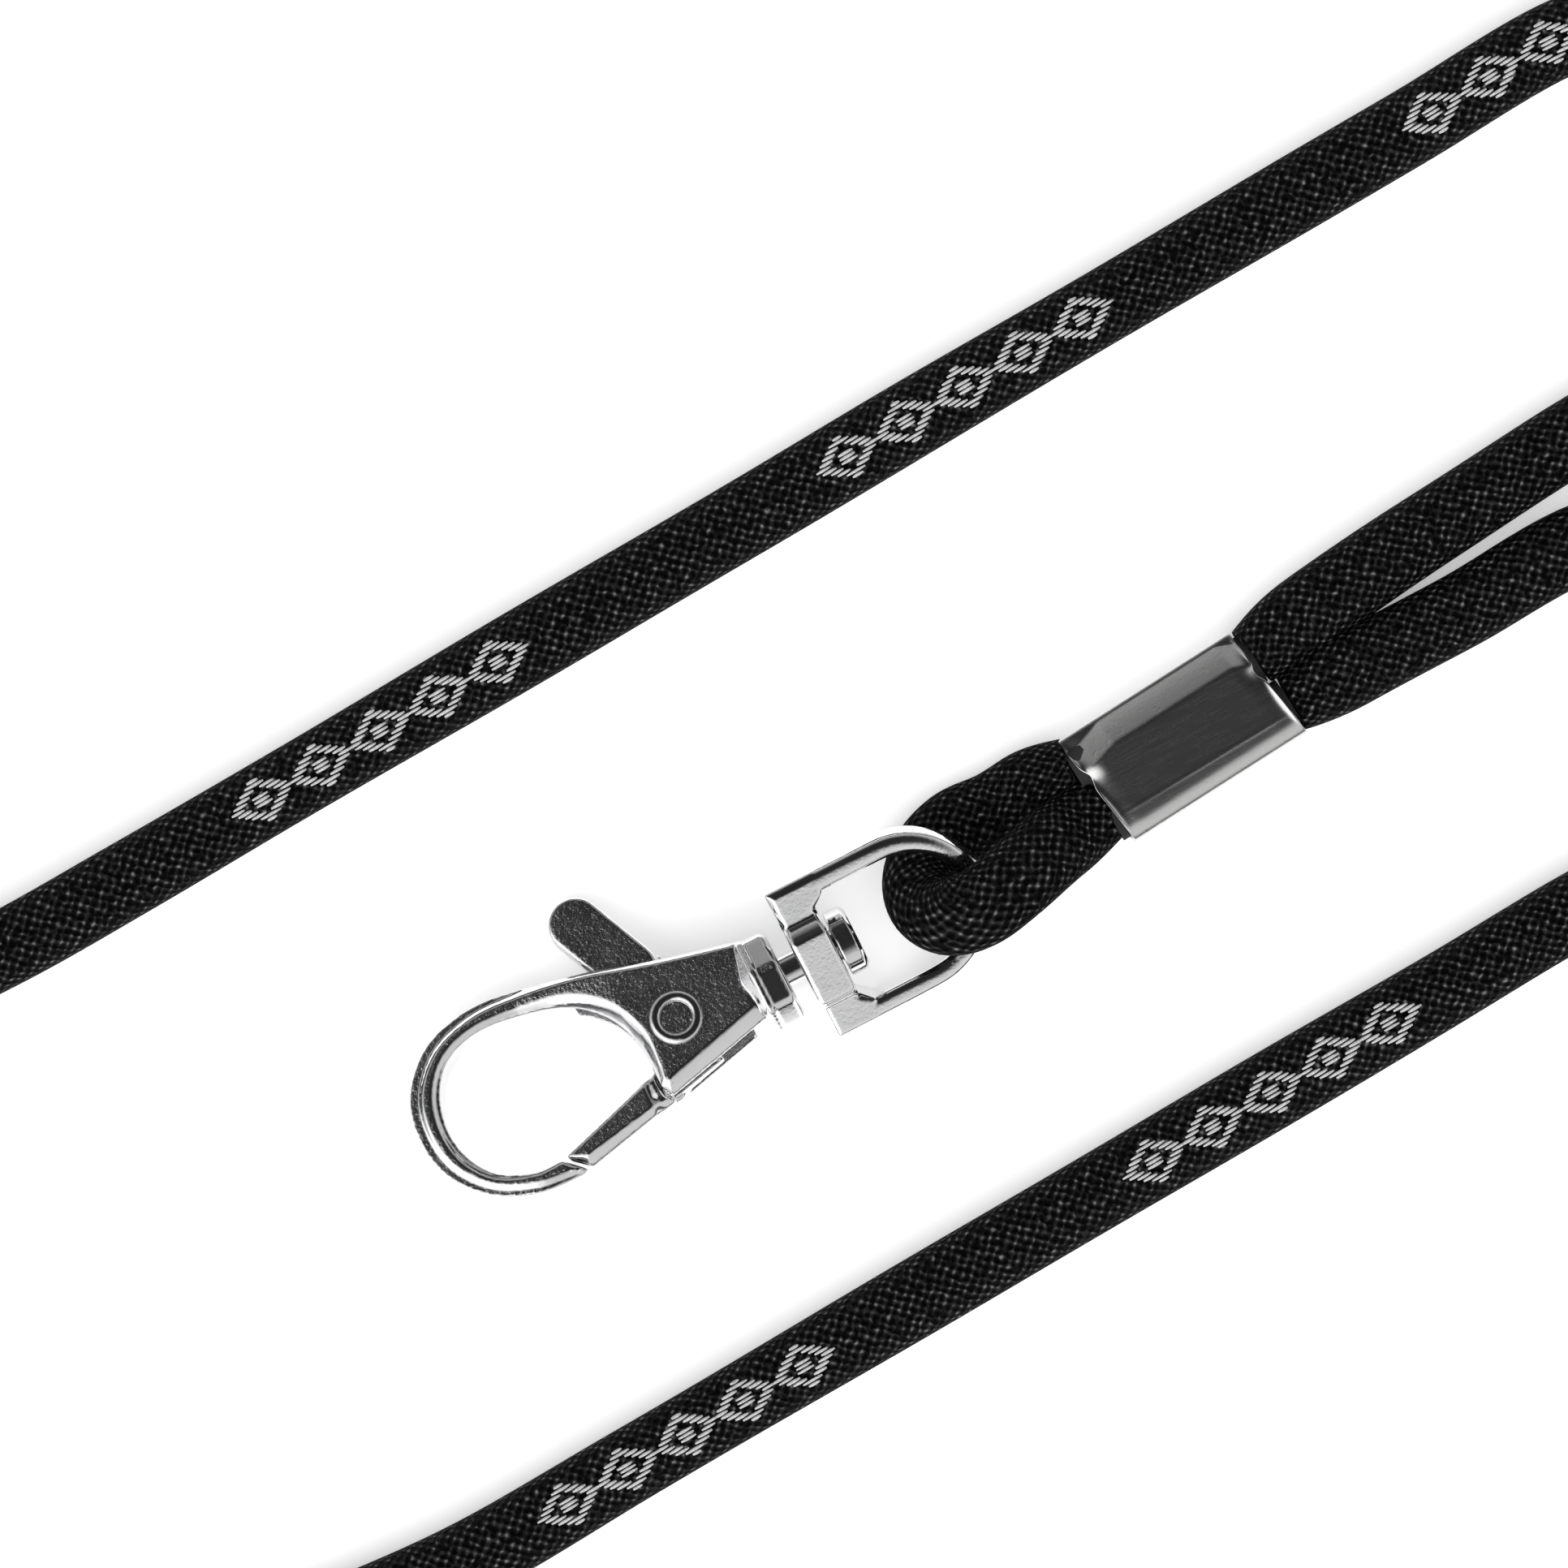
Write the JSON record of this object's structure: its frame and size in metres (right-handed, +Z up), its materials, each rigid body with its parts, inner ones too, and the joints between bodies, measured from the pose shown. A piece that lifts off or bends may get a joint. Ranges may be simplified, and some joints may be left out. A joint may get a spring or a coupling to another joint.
{
  "type": "neck lanyard",
  "caption": "Neck lanyard: black woven round cord loop, folded metal crimp, swivel eye and nickel trigger snap hook with a sprung gate.",
  "frame": {"origin": "centre of the crimp's flat underside, on the surface the lanyard lies on", "axes": "+X along the swivel axis from the hook towards the neck cord, +Y towards the thumb tab's side, +Z up"},
  "size_m": [0.2203, 0.069, 0.0082],
  "materials": {
    "cord": "matte woven polyester",
    "tie": "matte",
    "nickel": "bright nickel plate on a die casting",
    "crimp_steel": "satin",
    "spring_steel": "drawn wire"
  },
  "bodies": {
    "strap": {"crimp_sleeve": "crimp_steel", "crimped_cord": "cord", "hook_loop": "cord", "neck_cord_upper": "cord", "neck_cord_lower": "cord", "cord_coil": "cord", "coil_tie": "tie"},
    "eye": {"swivel_eye": "nickel"},
    "hook": {"hook_body": "nickel", "swivel_pin": "nickel", "gate_rivet": "nickel", "gate_spring": "spring_steel"},
    "gate": {"gate_lever": "nickel"}
  },
  "joints": [
    {"name": "eye_swing", "type": "hinge", "parent": "strap", "child": "eye", "pos_m": [-0.0211, -0.0018, 0.00375], "axis": [0, 0, 1], "range_deg": [-15, 15]},
    {"name": "swivel_spin", "type": "hinge", "parent": "eye", "child": "hook", "pos_m": [-0.0373, -0.0018, 0.00375], "axis": [1, 0, 0], "continuous": true},
    {"name": "gate_pivot", "type": "hinge", "parent": "hook", "child": "gate", "pos_m": [-0.0373, -0.0018, 0.00375], "axis": [0, -0.2419, -0.9703], "range_deg": [0, 26], "stiffness_Nm_per_rad": 0.02, "springref_deg": -40.11, "deforming": ["gate_spring"]}
  ]
}
